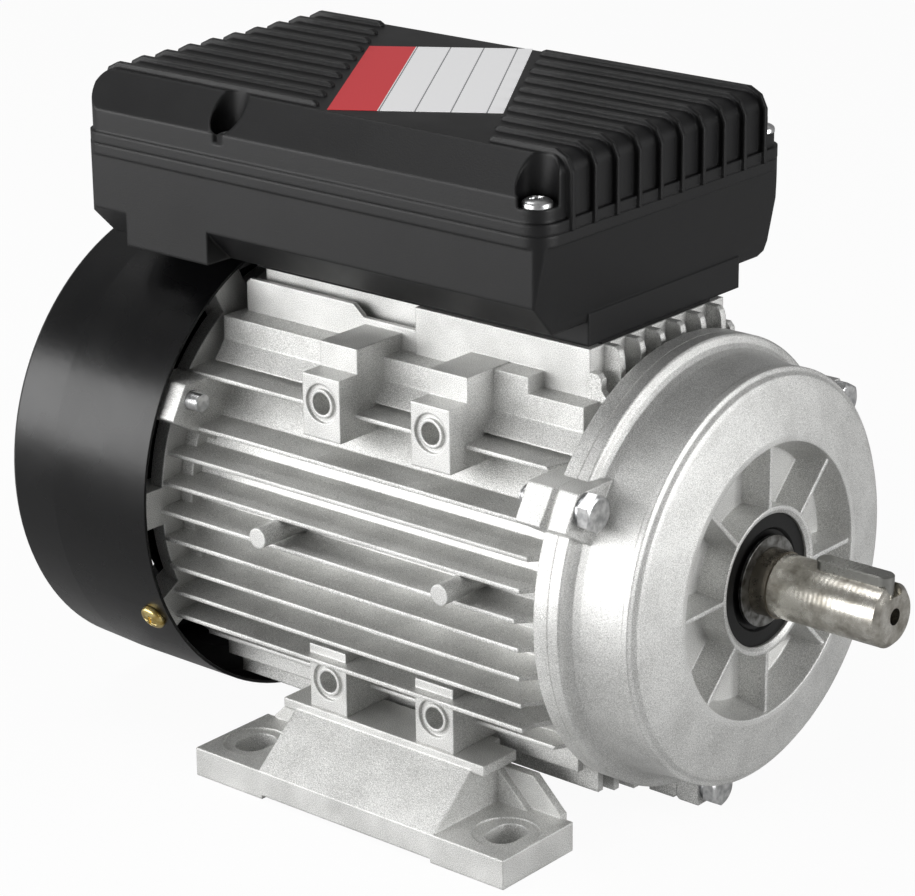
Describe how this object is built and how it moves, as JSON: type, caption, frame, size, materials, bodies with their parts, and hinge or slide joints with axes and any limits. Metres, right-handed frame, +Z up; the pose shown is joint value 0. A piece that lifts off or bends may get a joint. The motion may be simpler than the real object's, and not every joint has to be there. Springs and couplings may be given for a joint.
{
  "type": "single-phase electric motor",
  "caption": "Foot-mounted single-phase electric motor with finned aluminium frame, large top terminal box, rear fan under a cover and a keyed output shaft",
  "frame": {"origin": "on the floor in the middle of the four foot holes; the shaft axis is 80 mm above it", "axes": "+X runs along the shaft to the drive end, +Y is the far side of the picture, +Z is up"},
  "size_m": [0.28, 0.155, 0.2111],
  "materials": {
    "cast_frame": "bare die-cast aluminium, bright with a fine grain",
    "cast_shield": "die-cast aluminium with machined faces",
    "zinc_steel": "zinc-plated steel",
    "bright_zinc": "bright zinc-plated steel",
    "yellow_zinc": "yellow-passivated zinc on steel",
    "black_paint": "black semi-gloss paint on sheet steel",
    "black_plastic": "black satin moulded plastic",
    "fan_plastic": "black moulded plastic",
    "gasket_rubber": "black rubber sheet",
    "seal_rubber": "black moulded rubber",
    "capacitor_black": "black plastic can",
    "capacitor_grey": "light plastic can",
    "board_plastic": "brown moulded resin",
    "brass": "plain brass",
    "lamination": "stacked electrical sheet",
    "copper_winding": "varnished copper wire",
    "bearing_steel": "ground bearing steel",
    "shaft_steel": "turned steel, lightly tarnished"
  },
  "bodies": {
    "stator": {"stator_frame": "cast_frame", "foot_left": "cast_frame", "foot_right": "cast_frame", "foot_bolts": "zinc_steel", "front_end_shield": "cast_shield", "rear_end_shield": "cast_shield", "front_shield_bolts": "zinc_steel", "front_spring_washers": "zinc_steel", "rear_shield_bolts": "zinc_steel", "rear_spring_washers": "zinc_steel", "fan_cover": "black_paint", "fan_cover_screws": "yellow_zinc", "terminal_box_base": "black_plastic", "terminal_box_lid": "black_plastic", "lid_screws": "bright_zinc", "box_gasket": "gasket_rubber", "box_screws": "zinc_steel", "start_capacitor": "capacitor_black", "run_capacitor": "capacitor_grey", "capacitor_straps": "zinc_steel", "terminal_block": "board_plastic", "terminal_studs": "brass", "terminal_links": "brass", "terminal_nuts": "brass", "cable_gland": "black_plastic", "gland_nut": "black_plastic", "stator_core": "lamination", "stator_windings": "copper_winding", "front_bearing_outer": "bearing_steel", "rear_bearing_outer": "bearing_steel", "wave_washer": "bearing_steel", "front_shaft_seal": "seal_rubber", "switch_board": "board_plastic"},
    "rotor": {"shaft": "shaft_steel", "shaft_key": "shaft_steel", "shaft_slinger": "shaft_steel", "rotor_core": "lamination", "rotor_end_rings": "cast_shield", "front_bearing_inner": "bearing_steel", "rear_bearing_inner": "bearing_steel", "cooling_fan": "fan_plastic", "fan_circlip": "bearing_steel", "governor_plate": "zinc_steel", "governor_pins": "bearing_steel"},
    "front_ball_set": {"front_bearing_balls": "bearing_steel", "front_bearing_cage": "bearing_steel"},
    "rear_ball_set": {"rear_bearing_balls": "bearing_steel", "rear_bearing_cage": "bearing_steel"},
    "switch_collar": {"governor_collar": "fan_plastic"},
    "weight_left": {"governor_weight_left": "zinc_steel"},
    "weight_right": {"governor_weight_right": "zinc_steel"},
    "contact_arm": {"switch_arm": "brass"}
  },
  "joints": [
    {"name": "rotor_spin", "type": "hinge", "parent": "stator", "child": "rotor", "pos_m": [0, 0, 0.08], "axis": [1, 0, 0], "continuous": true},
    {"name": "front_balls_spin", "type": "hinge", "parent": "stator", "child": "front_ball_set", "pos_m": [0.079, 0, 0.08], "axis": [1, 0, 0], "continuous": true},
    {"name": "rear_balls_spin", "type": "hinge", "parent": "stator", "child": "rear_ball_set", "pos_m": [-0.085, 0, 0.08], "axis": [1, 0, 0], "continuous": true},
    {"name": "collar_slide", "type": "slide", "parent": "rotor", "child": "switch_collar", "axis": [1, 0, 0], "range_m": [0, 0.003], "stiffness_N_per_m": 400},
    {"name": "weight_left_swing", "type": "hinge", "parent": "rotor", "child": "weight_left", "pos_m": [-0.068, 0.022, 0.08], "axis": [0, 0, 1], "range_deg": [0, 24.6]},
    {"name": "weight_right_swing", "type": "hinge", "parent": "rotor", "child": "weight_right", "pos_m": [-0.068, -0.022, 0.08], "axis": [0, 0, -1], "range_deg": [0, 24.6]},
    {"name": "contact_arm_swing", "type": "hinge", "parent": "stator", "child": "contact_arm", "pos_m": [-0.0751, 0, 0.105], "axis": [0, -1, 0], "range_deg": [0, 8]}
  ],
  "couplings": [
    {"joint": "front_balls_spin", "follows": "rotor_spin", "ratio": 0.3815},
    {"joint": "rear_balls_spin", "follows": "rotor_spin", "ratio": 0.3815},
    {"joint": "weight_left_swing", "follows": "collar_slide", "rad_per_m": 143},
    {"joint": "weight_right_swing", "follows": "collar_slide", "rad_per_m": 143},
    {"joint": "contact_arm_swing", "follows": "collar_slide", "rad_per_m": 46.5}
  ]
}
